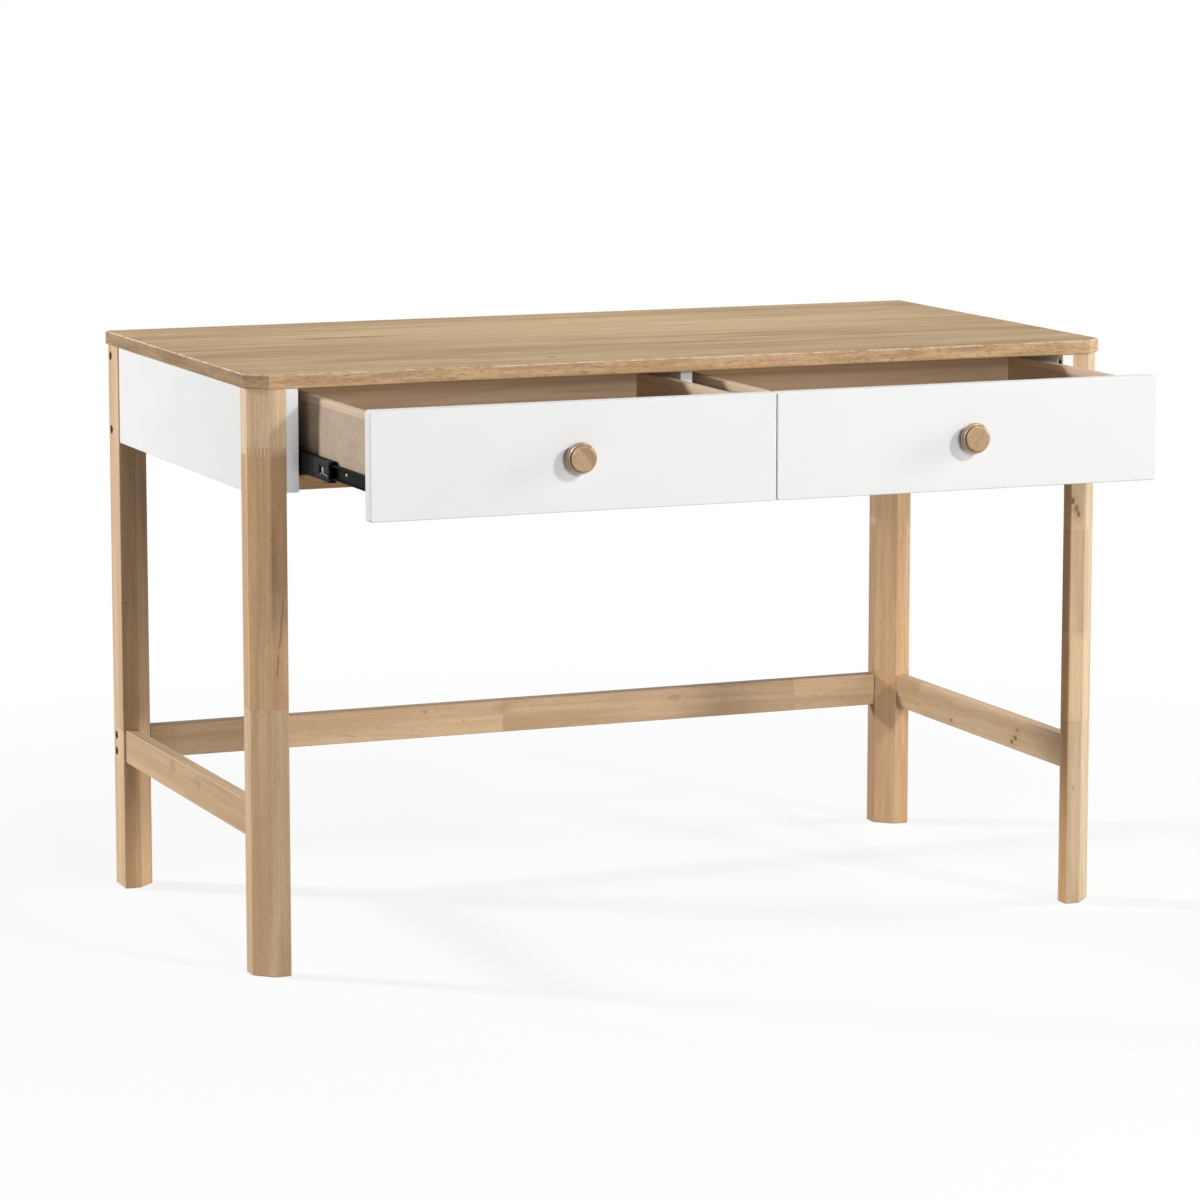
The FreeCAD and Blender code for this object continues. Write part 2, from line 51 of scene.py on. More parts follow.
def set_input(tree, socket, value):
    """Link an input to a node's output or give it a fixed value."""
    if isinstance(value, bpy.types.NodeSocket):
        tree.links.new(value, socket)
    elif socket.type == "RGBA":
        socket.default_value = (*value, 1.0)
    else:
        socket.default_value = value


def add_node(tree, kind, inputs=(), **settings):
    """Add a node with its settings and its inputs, which are a dictionary by name or number."""
    node = tree.nodes.new(kind)
    for key, value in settings.items():
        setattr(node, key, value)
    for key, value in dict(inputs).items():
        set_input(tree, node.inputs[key], value)
    return node


class Paint:
    """One material and the nodes it is made of."""

    FLAT_COSINE = 0.998
    SHARP_COSINE = 0.90

    def __init__(self, name):
        self.material = bpy.data.materials.new(name)
        self.material.use_nodes = True
        self.tree = self.material.node_tree
        self.shader = self.tree.nodes["Principled BSDF"]
        self.place = self.add("ShaderNodeTexCoord", {}, output="Object")
        self.facing = self.add("ShaderNodeTexCoord", {}, output="Normal")

    def add(self, kind, inputs, output=0, **settings):
        return add_node(self.tree, kind, inputs, **settings).outputs[output]

    def math(self, operation, a, b=0.0):
        return self.add("ShaderNodeMath", {0: a, 1: b}, operation=operation)

    def plus(self, a, b):
        return self.math("ADD", a, b)

    def times(self, a, b):
        return self.math("MULTIPLY", a, b)

    def apart(self, value, place):
        """How far a value is from a fixed place, on either side."""
        return self.math("ABSOLUTE", self.plus(value, -place))

    def swing(self, noise, reach):
        """A noise between 0 and 1 as a shift of up to half the reach to either side."""
        return self.times(self.plus(noise, -0.5), reach)

    def step(self, value, low, high):
        """0 at low and 1 at high, smooth between; low may be the larger of the two."""
        return self.add("ShaderNodeMapRange", {"Value": value, "From Min": low, "From Max": high},
                        interpolation_type="SMOOTHSTEP")

    def ramp(self, value, first, last, start=0.0, end=1.0):
        """From first to last as a value goes from start to end, straight between."""
        return self.add("ShaderNodeMapRange", {"Value": value, "From Min": start, "From Max": end,
                                               "To Min": first, "To Max": last})

    def vector(self, operation, a, b):
        """Vector from two vectors."""
        return self.add("ShaderNodeVectorMath", {0: a, 1: b}, operation=operation)

    def measure(self, operation, a, b=(0.0, 0.0, 0.0)):
        """Number from one or two vectors."""
        return self.add("ShaderNodeVectorMath", {0: a, 1: b}, output="Value", operation=operation)

    def split(self, vector):
        return tuple(add_node(self.tree, "ShaderNodeSeparateXYZ", {0: vector}).outputs)

    def join(self, x, y, z):
        return self.add("ShaderNodeCombineXYZ", {0: x, 1: y, 2: z})

    def mix(self, share, first, second, blend="MIX"):
        # Sockets 6, 7 and 2 are the mix node's colour inputs and colour output.
        return self.add("ShaderNodeMix", {0: share, 6: first, 7: second}, output=2,
                        data_type="RGBA", blend_type=blend)

    def toned(self, color, tone, share=1.0):
        """Colour multiplied by a tone, by a share."""
        return self.mix(share, color, tone, blend="MULTIPLY")

    def layers(self, color, rows):
        """Colour with shades laid over it; each row is (value, low, high, share, shade)."""
        for value, low, high, share, shade in rows:
            color = self.mix(self.times(self.step(value, low, high), share), color, shade)
        return color

    def noise(self, vector, scale=1.0, detail=3.0, rough=0.55):
        return self.add("ShaderNodeTexNoise", {"Vector": vector, "Scale": scale, "Detail": detail,
                                               "Roughness": rough})

    def stretched(self, vector, sizes, shift=(0.0, 0.0, 0.0)):
        """Coordinates in which one unit is as long as sizes, in metres, on each axis."""
        scale = tuple(1.0 / size for size in sizes)
        return self.add("ShaderNodeMapping", {"Vector": vector, "Scale": scale, "Location": shift})

    def grain(self, vector, sizes, detail=3.0, rough=0.55, shift=(0.0, 0.0, 0.0)):
        """Noise with features about as long as sizes, in metres, on each axis."""
        return self.noise(self.stretched(vector, sizes, shift), detail=detail, rough=rough)

    def bands(self, value, detail, rough):
        """Irregular bands along one coordinate."""
        return self.add("ShaderNodeTexNoise", {"W": value, "Scale": 1.0, "Detail": detail,
                                               "Roughness": rough}, noise_dimensions="1D")

    def arris(self, radius):
        """1 on sharp edges and 0 on flat faces."""
        rounded = self.add("ShaderNodeBevel", {"Radius": radius}, samples=6)
        plain = self.add("ShaderNodeNewGeometry", {}, output="Normal")
        same = self.measure("DOT_PRODUCT", rounded, plain)
        return self.step(same, self.FLAT_COSINE, self.SHARP_COSINE)

    def bump(self, height, strength, distance):
        normal = self.add("ShaderNodeBump", {"Height": height, "Strength": strength,
                                             "Distance": distance})
        set_input(self.tree, self.shader.inputs["Normal"], normal)

    def finish(self, color, rough, **others):
        """Give the shader its colour, roughness and other inputs, with _ for a space in a name."""
        set_input(self.tree, self.shader.inputs["Base Color"], color)
        set_input(self.tree, self.shader.inputs["Roughness"], rough)
        for key, value in others.items():
            set_input(self.tree, self.shader.inputs[key.replace("_", " ")], value)
        return self.material


def tint(color, factor):
    return tuple(channel * factor for channel in color)


def even(value):
    """The same number in three channels or on three axes."""
    return (value, value, value)


# Solid wood. Lengths are in metres.

GRAIN_ORDER = {"X": (1, 2, 0), "Y": (0, 2, 1), "Z": (0, 1, 2)}
COMB_PITCH = 0.0038
COMB_LENGTH = 0.0115
COMB_FLANK = (0.22 * COMB_PITCH, 0.34 * COMB_PITCH)
COMB_CREST = (0.30 * COMB_PITCH, 0.42 * COMB_PITCH)
COMB_END = (0.55 * COMB_LENGTH, 0.45 * COMB_LENGTH)
GLUE_LINE = (0.0009, 0.0002)
TIP_SHARE = 0.30
JOINT_JUMP = 7.31
JOINT_JUMP_ACROSS = (0.013, 0.017)
GRAIN_BEND = (0.020, 0.014)
PITH_AWAY = (0.052, 0.071)
PITH_SPREAD = 0.01
RING_SPACING = 0.0052
FACE_TURN = (0.80, 0.95)
MARK_WANDER = 0.012
MARK_FULL = 0.25
ARRIS_RADIUS = 0.0012
ARRIS_SHARE = 0.22
# A knot's wobble, halo and core are shares of its radius.
KNOT_SQUASH = 0.62
KNOT_GRAIN = 0.006
KNOT_WOBBLE = 0.9
KNOT_HALO = (2.6, 0.5)
KNOT_CORE = (0.75, 0.25)
KNOT_HALO_SHARE = 0.20
KNOT_HALO_DARK = 0.28
KNOT_SWIRL = 7.0
KNOT_SWIRL_SHARE = 0.35
WOOD_LIGHT = (0.655, 0.468, 0.290)
WOOD_DARK = (0.545, 0.370, 0.215)
WOOD_STREAK = (0.440, 0.278, 0.148)
WOOD_PALE = (0.735, 0.550, 0.365)
WOOD_PORE = (0.235, 0.140, 0.072)
WOOD_WORN_AND_HIGHLIGHT = (0.780, 0.640, 0.470)
WOOD_HALO = (0.380, 0.225, 0.108)
WOOD_KNOT = (0.110, 0.060, 0.030)


def wood_joints(paint, parts, along, joints):
    """Number of the length that a point is in, and the shares of glue line and of finger tips."""
    length_id, line, tips = 0.0, 0.0, 0.0
    for place, comb, share in joints:
        edge = along
        if comb is not None:
            wave = paint.math("PINGPONG", parts["XYZ".index(comb)], COMB_PITCH / 2)
            finger = paint.ramp(wave, 0.0, COMB_LENGTH, *COMB_FLANK)
            edge = paint.plus(along, paint.plus(finger, -COMB_LENGTH / 2))
            within = paint.step(paint.apart(along, place), *COMB_END)
            tip = paint.times(within, paint.step(wave, *COMB_CREST))
            tips = paint.math("MAXIMUM", tips, tip)
        length_id = paint.plus(length_id, paint.math("GREATER_THAN", edge, place))
        glue = paint.times(paint.step(paint.apart(edge, place), *GLUE_LINE), share)
        line = paint.math("MAXIMUM", line, glue)
    return length_id, line, tips


def bent_grain(paint, across_a, across_b, along, length_id, seed):
    """Coordinates across and along the grain that jump at each joint and bend a little."""
    jump = paint.times(length_id, JOINT_JUMP)
    straight = paint.join(paint.plus(across_a, paint.times(jump, JOINT_JUMP_ACROSS[0])),
                          paint.plus(across_b, paint.times(jump, JOINT_JUMP_ACROSS[1])),
                          paint.plus(along, paint.plus(jump, seed)))
    bend = paint.grain(straight, (0.06, 0.06, 0.30), detail=2.0)
    shift = paint.join(paint.times(bend, GRAIN_BEND[0]), paint.times(bend, GRAIN_BEND[1]), 0.0)
    return paint.vector("ADD", straight, shift)


def growth_rings(paint, bent, seed):
    """Irregular rings round a pith that lies outside the piece."""
    across_a, across_b, _ = paint.split(bent)
    pith = paint.join(paint.plus(across_a, PITH_AWAY[0] + PITH_SPREAD * math.sin(seed)),
                      paint.plus(across_b, PITH_AWAY[1] + PITH_SPREAD * math.cos(seed)), 0.0)
    reach = paint.measure("LENGTH", pith)
    return paint.bands(paint.times(reach, 1 / RING_SPACING), detail=3.0, rough=0.55)


def uneven_place(paint):
    """Object coordinates bent a little, so that marks in the wood have uneven edges."""
    shift = paint.swing(paint.grain(paint.place, (0.020, 0.020, 0.050)), MARK_WANDER)
    return paint.vector("ADD", paint.place, paint.join(shift, shift, 0.0))


def tone_runs(paint, color, marks_and_light):
    """Tone a colour along straight runs, streaks of the wood and painted light and shade; marks are (start,
    end, half width, tone).
    """
    for start, end, width, tone in marks_and_light:
        run = Vector(end) - Vector(start)
        away = paint.vector("SUBTRACT", uneven_place(paint), start)
        share = paint.measure("DOT_PRODUCT", away, run / run.length_squared)
        share = paint.math("MINIMUM", paint.math("MAXIMUM", share, 0.0), 1.0)
        nearest = paint.add("ShaderNodeVectorMath", {0: run, "Scale": share}, operation="SCALE")
        apart = paint.measure("DISTANCE", away, nearest)
        color = paint.toned(color, tone, paint.step(apart, width, width * MARK_FULL))
    return color


def knot_wood(paint, color, axis, knots):
    """Lay knots with a swirled halo over a colour; knots are (place, radius, darkness)."""
    for place, radius, dark in knots:
        away = paint.split(paint.vector("SUBTRACT", paint.place, place))
        across_a, across_b, along = (away[index] for index in GRAIN_ORDER[axis])
        squashed = paint.join(across_a, across_b, paint.times(along, KNOT_SQUASH))
        wobble = paint.grain(paint.place, even(KNOT_GRAIN), detail=2.0)
        reach = paint.plus(paint.measure("LENGTH", squashed),
                           paint.swing(wobble, radius * KNOT_WOBBLE))
        halo = paint.step(reach, *tint(KNOT_HALO, radius))
        core = paint.step(reach, *tint(KNOT_CORE, radius))
        swirl = paint.math("SINE", paint.times(reach, KNOT_SWIRL / radius))
        pale = paint.times(halo, paint.step(swirl, 0.1, 0.9))
        color = paint.mix(paint.times(halo, KNOT_HALO_SHARE + KNOT_HALO_DARK * dark), color, WOOD_HALO)
        color = paint.mix(paint.times(pale, KNOT_SWIRL_SHARE), color, WOOD_PALE)
        color = paint.mix(paint.times(core, dark), color, WOOD_KNOT)
    return color


def solid_wood(name, axis, seed, joints, tones, pores, faces=(), marks_and_light=(), knots=()):
    """Finger-jointed light hardwood with its grain along an axis.

    joints are (place along the grain, comb axis or None, share of a dark glue line); tones gives
    the tone of each length, lowest first; pores is the share of the pores' colour; faces are
    (direction, tone), painted light and shade that lightens or darkens the faces that look that way,
    partly also the wood's own tone; marks are (start, end, half width, tone), streaks of the wood and
    painted light and shade; knots are (place, radius, darkness).
    """
    paint = Paint(name)
    parts = paint.split(paint.place)
    across_a, across_b, along = (parts[index] for index in GRAIN_ORDER[axis])
    length_id, line, tips = wood_joints(paint, parts, along, joints)
    bent = bent_grain(paint, across_a, across_b, along, length_id, seed)
    rings = growth_rings(paint, bent, seed)
    broad = paint.grain(bent, (0.020, 0.020, 0.50))
    flame = paint.grain(bent, (0.0075, 0.0075, 0.19), detail=4.0, rough=0.6)
    fibre = paint.grain(bent, (0.0012, 0.0012, 0.060))
    fleck = paint.grain(bent, (0.0030, 0.0030, 0.022), detail=2.0)
    pore = paint.step(paint.grain(bent, (0.0009, 0.0009, 0.0085), detail=1.0, rough=0.4), 0.65, 0.73)
    color = paint.mix(paint.step(broad, 0.36, 0.64), WOOD_DARK, WOOD_LIGHT)
    color = paint.layers(color, (
        (flame, 0.52, 0.72, 0.48, WOOD_STREAK), (flame, 0.44, 0.28, 0.40, WOOD_PALE),
        (rings, 0.50, 0.76, 0.30, WOOD_STREAK), (rings, 0.46, 0.24, 0.20, WOOD_PALE),
        (fibre, 0.48, 0.80, 0.28, WOOD_STREAK), (fleck, 0.52, 0.75, 0.16, WOOD_PALE)))
    color = paint.mix(paint.times(pore, pores), color, WOOD_PORE)
    tone = tones[0]
    for index, later in enumerate(tones[1:], start=1):
        tone = paint.mix(paint.math("GREATER_THAN", length_id, index - 0.5), tone, later)
    color = paint.toned(color, tone)
    # Painted light and shade: faces that look one way are lightened or darkened as light falls on them,
    # partly also the wood's own tone.
    for direction, face_light_tone in faces:
        towards = paint.measure("DOT_PRODUCT", paint.facing, Vector(direction).normalized())
        color = paint.toned(color, face_light_tone, paint.step(towards, *FACE_TURN))
    color = tone_runs(paint, color, marks_and_light)
    color = paint.mix(paint.times(tips, TIP_SHARE), color, WOOD_PALE)
    color = paint.mix(line, color, WOOD_PORE)
    # Painted highlight and wear: the rounded arrises are lightened where light catches them.
    color = paint.mix(paint.times(paint.arris(ARRIS_RADIUS), ARRIS_SHARE), color, WOOD_WORN_AND_HIGHLIGHT)
    color = knot_wood(paint, color, axis, knots)
    height = paint.plus(paint.times(fibre, 0.5), paint.times(pore, -0.8))
    paint.bump(paint.plus(height, paint.times(line, -0.6)), 0.25, 0.0004)
    return paint.finish(color, paint.ramp(rings, 0.44, 0.60, 0.3, 0.8), Specular_IOR_Level=0.30)


# Wood-pattern board of the top and the front rail

TOP_LEVEL = 0.762
TOP_DRIFT = 0.036
TOP_UPRIGHT = (0.35, 0.1)
TOP_LEFT_TURN = (-0.75, -0.95)
TOP_LEFT_SHADE = (0.64, 0.63, 0.62)
TOP_WORN_AND_HIGHLIGHT_SHARE = 0.75
TOP_MARK_WANDER = 1.6
TOP_LIGHT = (0.500, 0.352, 0.186)
TOP_DARK = (0.392, 0.262, 0.132)
TOP_STREAK = (0.288, 0.180, 0.085)
TOP_PALE = (0.640, 0.478, 0.270)
TOP_PORE = (0.165, 0.098, 0.050)
TOP_EDGE_LIGHT = (0.560, 0.385, 0.232)
TOP_EDGE_DARK = (0.405, 0.265, 0.152)
TOP_WORN_AND_HIGHLIGHT = (0.800, 0.720, 0.590)
# Patches and knots of the print, and a broad painted pool of light at the middle back in the first row: X,
# Y, half length, half width, share and colour
TOP_MARKS_AND_LIGHT = (
    (0.0200, 0.2500, 0.600, 0.220, 0.60, (0.66, 0.485, 0.272)),
    (-0.3372, 0.2328, 0.090, 0.034, 0.50, (0.30, 0.170, 0.076)),
    (-0.3662, 0.2302, 0.026, 0.012, 0.60, (0.17, 0.092, 0.042)),
    (-0.2990, 0.2340, 0.034, 0.012, 0.55, (0.24, 0.130, 0.058)),
    (-0.3250, 0.2520, 0.070, 0.012, 0.65, (0.66, 0.500, 0.310)),
    (-0.3400, 0.2130, 0.075, 0.011, 0.55, (0.64, 0.480, 0.290)),
    (0.1590, 0.2547, 0.045, 0.014, 0.50, (0.66, 0.545, 0.400)),
    (-0.1680, -0.1036, 0.0060, 0.0055, 0.92, (0.07, 0.040, 0.024)),
)


def edge_print_and_shade(paint, facing_x):
    """Colour of the board's upright edges: short dashes on patches, with painted shade on the left end."""
    dash = paint.grain(paint.place, (0.0085, 0.0085, 0.0011), rough=0.7)
    patch = paint.grain(paint.place, (0.090, 0.090, 0.007), rough=0.6)
    edge = paint.mix(paint.step(patch, 0.34, 0.66), TOP_EDGE_DARK, TOP_EDGE_LIGHT)
    edge = paint.layers(edge, ((dash, 0.52, 0.68, 0.75, TOP_PORE), (dash, 0.42, 0.28, 0.45, TOP_PALE)))
    # Painted shade: the left end's face is darker.
    return paint.toned(edge, TOP_LEFT_SHADE, paint.step(facing_x, *TOP_LEFT_TURN))


def laminate(name, tone):
    """Board with long printed streaks along X, rougher upright edges, and worn eased edges with a painted
    highlight.
    """
    paint = Paint(name)
    x, y, z = paint.split(paint.place)
    drift = paint.grain(paint.place, (0.55, 0.16, 0.16), detail=2.0)
    bent = paint.join(x, paint.plus(y, paint.swing(drift, TOP_DRIFT)), z)
    cloud = paint.grain(bent, (0.62, 0.085, 0.085), detail=2.0)
    broad = paint.grain(bent, (0.46, 0.030, 0.030), rough=0.6, shift=(3.1, 0.0, 0.0))
    streak = paint.grain(bent, (0.36, 0.011, 0.011), detail=4.0, rough=0.66)
    thread = paint.grain(bent, (0.30, 0.0060, 0.0060), detail=2.0, shift=(0.0, 7.7, 0.0))
    fibre = paint.grain(bent, (0.060, 0.0020, 0.0020), rough=0.6)
    pore = paint.step(paint.grain(bent, (0.022, 0.0013, 0.0013), detail=1.0), 0.61, 0.70)
    color = paint.mix(paint.step(cloud, 0.36, 0.62), TOP_DARK, TOP_LIGHT)
    color = paint.layers(color, (
        (broad, 0.49, 0.68, 0.62, TOP_STREAK), (broad, 0.46, 0.30, 0.60, TOP_PALE),
        (streak, 0.52, 0.68, 0.68, TOP_STREAK), (streak, 0.44, 0.30, 0.58, TOP_PALE),
        (thread, 0.60, 0.70, 0.65, TOP_PALE), (thread, 0.40, 0.30, 0.40, TOP_STREAK),
        (fibre, 0.50, 0.74, 0.42, TOP_STREAK)))
    color = paint.mix(paint.times(pore, 0.35), color, TOP_PORE)
    facing_x, _, facing_z = paint.split(paint.facing)
    upright = paint.step(paint.math("ABSOLUTE", facing_z), *TOP_UPRIGHT)
    color = paint.mix(upright, color, edge_print_and_shade(paint, facing_x))
    # Painted highlight and wear: a broken light line along the top's eased edges.
    eased = paint.times(paint.step(facing_z, 0.15, 0.45), paint.step(facing_z, 0.97, 0.80))
    patchy = paint.step(paint.grain(paint.place, even(0.020), detail=5.0, rough=0.75), 0.38, 0.58)
    color = paint.mix(paint.times(paint.times(eased, patchy), TOP_WORN_AND_HIGHLIGHT_SHARE), color, TOP_WORN_AND_HIGHLIGHT)
    for mark_x, mark_y, length, width, share, shade in TOP_MARKS_AND_LIGHT:
        away = paint.vector("SUBTRACT", paint.place, (mark_x, mark_y, TOP_LEVEL))
        reach = paint.measure("LENGTH", paint.stretched(away, (length, width, 1.0)))
        reach = paint.plus(reach, paint.swing(streak, TOP_MARK_WANDER))
        color = paint.layers(color, ((reach, 1.0, 0.25, share, shade),))
    color = paint.toned(color, tone)
    paint.bump(paint.plus(paint.times(fibre, 0.5), paint.times(pore, -0.9)), 0.20, 0.0003)
    return paint.finish(color, paint.ramp(fibre, 0.48, 0.62, 0.3, 0.8), Specular_IOR_Level=0.12)


# White lacquer, the drawers' boards, metal, plastic and the knobs' wood

LACQUER_DARK = (0.835, 0.835, 0.828)
LACQUER_LIGHT = (0.868, 0.868, 0.862)


def lacquer(name, seed):
    """White lacquer with faint clouds and a faint orange-peel surface."""
    paint = Paint(name)
    moved = paint.stretched(paint.place, even(1.0), shift=(seed, seed * 0.7, 0.0))
    cloud = paint.noise(moved, scale=5.0, detail=2.0)
    peel = paint.noise(moved, scale=520.0, detail=1.0)
    rough = paint.ramp(paint.noise(moved, scale=24.0), 0.34, 0.44, 0.3, 0.7)
    paint.bump(peel, 0.10, 0.00015)
    return paint.finish(paint.mix(cloud, LACQUER_DARK, LACQUER_LIGHT), rough, Specular_IOR_Level=0.40)


FOIL_WRAP = 0.008
FOIL_WRAP_BLUR = 0.0006
NEVER_WRAPPED = 2.0
FOIL_EDGE = (0.670, 0.515, 0.362)
FOIL_LIGHT = (0.600, 0.445, 0.300)
FOIL_DARK = (0.490, 0.345, 0.222)
FOIL_STREAK = (0.380, 0.252, 0.150)
BOARD_LIGHT = (0.530, 0.415, 0.312)
BOARD_DARK = (0.440, 0.333, 0.243)
BOARD_GRIT = (0.340, 0.248, 0.172)
BOARD_SPECK = (0.330, 0.185, 0.090)


def drawer_board(name, inside_axis, inside_sign, top):
    """Board of a drawer: wood-pattern foil inside and over the top edge, plain fibreboard outside."""
    paint = Paint(name)
    x, y, z = paint.split(paint.place)
    facing = paint.split(paint.facing)
    along = paint.join(y, x, z) if inside_axis == "X" else paint.join(x, y, z)
    streak = paint.grain(along, (0.30, 0.02, 0.012), detail=4.0, rough=0.6)
    fibre = paint.grain(along, (0.07, 0.002, 0.0014))
    wrap_end = top - FOIL_WRAP
    wrapped = paint.step(z, wrap_end - FOIL_WRAP_BLUR, wrap_end + FOIL_WRAP_BLUR)
    foil = paint.mix(paint.step(streak, 0.35, 0.7), FOIL_LIGHT, FOIL_DARK)
    foil = paint.layers(foil, ((fibre, 0.5, 0.8, 0.35, FOIL_STREAK),))
    foil = paint.mix(wrapped, foil, paint.mix(fibre, FOIL_EDGE, FOIL_LIGHT))
    speck = paint.grain(paint.place, (0.0042, 0.0110, 0.0042), detail=2.0)
    grit = paint.grain(paint.place, (0.0011, 0.0040, 0.0011), rough=0.7)
    fluff = paint.grain(paint.place, (0.014, 0.050, 0.014), detail=5.0, rough=0.7)
    board = paint.mix(paint.step(fluff, 0.20, 0.80), BOARD_LIGHT, BOARD_DARK)
    board = paint.layers(board, ((grit, 0.52, 0.70, 0.22, BOARD_GRIT),
                                 (speck, 0.635, 0.69, 0.60, BOARD_SPECK)))
    outward = paint.step(paint.times(facing["XYZ".index(inside_axis)], -inside_sign), 0.35, 0.65)
    bare = paint.times(outward, paint.math("SUBTRACT", 1.0, wrapped))
    bare = paint.math("MAXIMUM", bare, paint.step(facing[2], -0.5, -0.8))
    paint.bump(paint.plus(paint.times(fluff, bare), paint.times(fibre, 0.4)), 0.25, 0.0003)
    return paint.finish(paint.mix(bare, foil, board), paint.ramp(bare, 0.50, 0.82),
                        Specular_IOR_Level=0.25)


def coated_steel(name, base, rough, metal, gloss=0.5):
    """Painted or plated steel with small marks where it has been handled."""
    paint = Paint(name)
    cloud = paint.noise(paint.place, scale=90.0, detail=4.0)
    scuff = paint.grain(paint.place, (0.0012, 0.02, 0.0012), rough=0.6)
    color = paint.mix(cloud, tint(base, 0.8), tint(base, 1.25))
    color = paint.layers(color, ((scuff, 0.66, 0.80, 0.35, tint(base, 2.2)),))
    paint.bump(cloud, 0.08, 0.0002)
    return paint.finish(color, paint.ramp(cloud, rough - 0.07, rough + 0.09, 0.3, 0.7),
                        Metallic=metal, Specular_IOR_Level=gloss)


def moulded_plastic(name, base, gloss):
    """Moulded plastic with a fine eroded texture."""
    paint = Paint(name)
    texture = paint.noise(paint.place, scale=1500.0, detail=2.0)
    cloud = paint.noise(paint.place, scale=60.0, detail=2.0)
    color = paint.mix(cloud, tint(base, 0.85), tint(base, 1.2))
    paint.bump(texture, 0.18, 0.0002)
    return paint.finish(color, paint.ramp(texture, 0.42, 0.62), Specular_IOR_Level=gloss)


KNOB_LIGHT = (0.520, 0.340, 0.190)
KNOB_DARK = (0.425, 0.262, 0.138)
KNOB_STREAK = (0.330, 0.198, 0.100)
KNOB_RED = (0.330, 0.178, 0.090)
KNOB_END_GRAIN_AND_SHADE = (0.50, 0.45, 0.38)
KNOB_BEND = 0.006
KNOB_SEAM_CURVE = 9.0
KNOB_SEAM_BLUR = 0.0003
KNOB_SEAM_SHARE = 0.60


def turned_wood(name, centre, seed, lean, seam=None):
    """Turned knob: growth lines crossed at a lean, fine pores, dark end grain with painted shade on the
    sides, and gloss lacquer.

    seam is the direction, in X and Z, and the distance from the axis past which the piece is glued
    from a darker wood."""
    paint = Paint(name)
    away = paint.vector("SUBTRACT", paint.place, centre)
    turned = paint.add("ShaderNodeVectorRotate", {"Vector": away, "Axis": (0.0, 1.0, 0.0),
                                                  "Angle": lean}, rotation_type="AXIS_ANGLE")
    moved = paint.stretched(turned, even(1.0), shift=(seed, 0.0, seed * 0.3))
    bend = paint.noise(moved, scale=38.0, detail=2.0)
    bent = paint.vector("ADD", moved, paint.join(paint.times(bend, KNOB_BEND), 0.0, 0.0))
    band = paint.grain(bent, (0.0055, 0.05, 0.09), rough=0.6)
    fibre = paint.grain(bent, (0.0009, 0.010, 0.014))
    pore = paint.step(paint.grain(bent, (0.0007, 0.004, 0.0045), detail=1.0), 0.62, 0.70)
    color = paint.layers(KNOB_LIGHT, ((band, 0.35, 0.72, 0.65, KNOB_DARK),
                                      (fibre, 0.50, 0.80, 0.35, KNOB_STREAK)))
    color = paint.mix(paint.times(pore, 0.55), color, WOOD_PORE)
    if seam:
        side_x, side_z, distance = seam
        x, _, z = paint.split(away)
        across = paint.plus(paint.times(x, side_x), paint.times(z, side_z))
        along = paint.plus(paint.times(x, side_z), paint.times(z, -side_x))
        across = paint.plus(across, paint.times(paint.times(along, along), KNOB_SEAM_CURVE))
        color = paint.layers(color, ((across, distance - KNOB_SEAM_BLUR, distance + KNOB_SEAM_BLUR,
                                      KNOB_SEAM_SHARE, KNOB_RED),))
    # Darker on the sides that face left and right: end grain, with painted shade on the left side of the
    # rim.
    ends = paint.math("ABSOLUTE", paint.split(paint.facing)[0])
    color = paint.toned(color, KNOB_END_GRAIN_AND_SHADE, paint.step(ends, 0.30, 0.85))
    paint.bump(paint.plus(paint.times(fibre, 0.5), paint.times(pore, -0.7)), 0.10, 0.0002)
    return paint.finish(color, paint.ramp(fibre, 0.26, 0.40), Specular_IOR_Level=0.40,
                        Coat_Weight=1.0, Coat_Roughness=0.17, Coat_IOR=1.6)


# Materials of the CAD nodes

def coat(node, material):
    """Give a CAD node's object one material in all its slots."""
    slots = nodes[node].data.materials
    if not slots:
        slots.append(material)
    for index in range(len(slots)):
        slots[index] = material


coat("tabletop", laminate("wood_laminate_top", (1.12, 1.09, 1.06)))
# The rail's tone is partly a lighter print and partly painted light on the rail under the drawers.
coat("front_rail", laminate("wood_laminate_rail", (1.60, 1.55, 1.42)))

LEFT_FACE = (-1.0, 0.0, 0.0)
FRONT_FACE = (0.0, -1.0, 0.0)
LEFT_CUT = (-1.0, -1.0, 0.0)
RIGHT_CUT = (1.0, -1.0, 0.0)
UP_FACE = (0.0, 0.0, 1.0)
LEG_Y = -0.1705
REAR_LEG_Y = 0.4045
REAR_STRETCHER_Y = 0.4265
LEFT_STRETCHER_X = -0.591
RIGHT_STRETCHER_X = 0.573
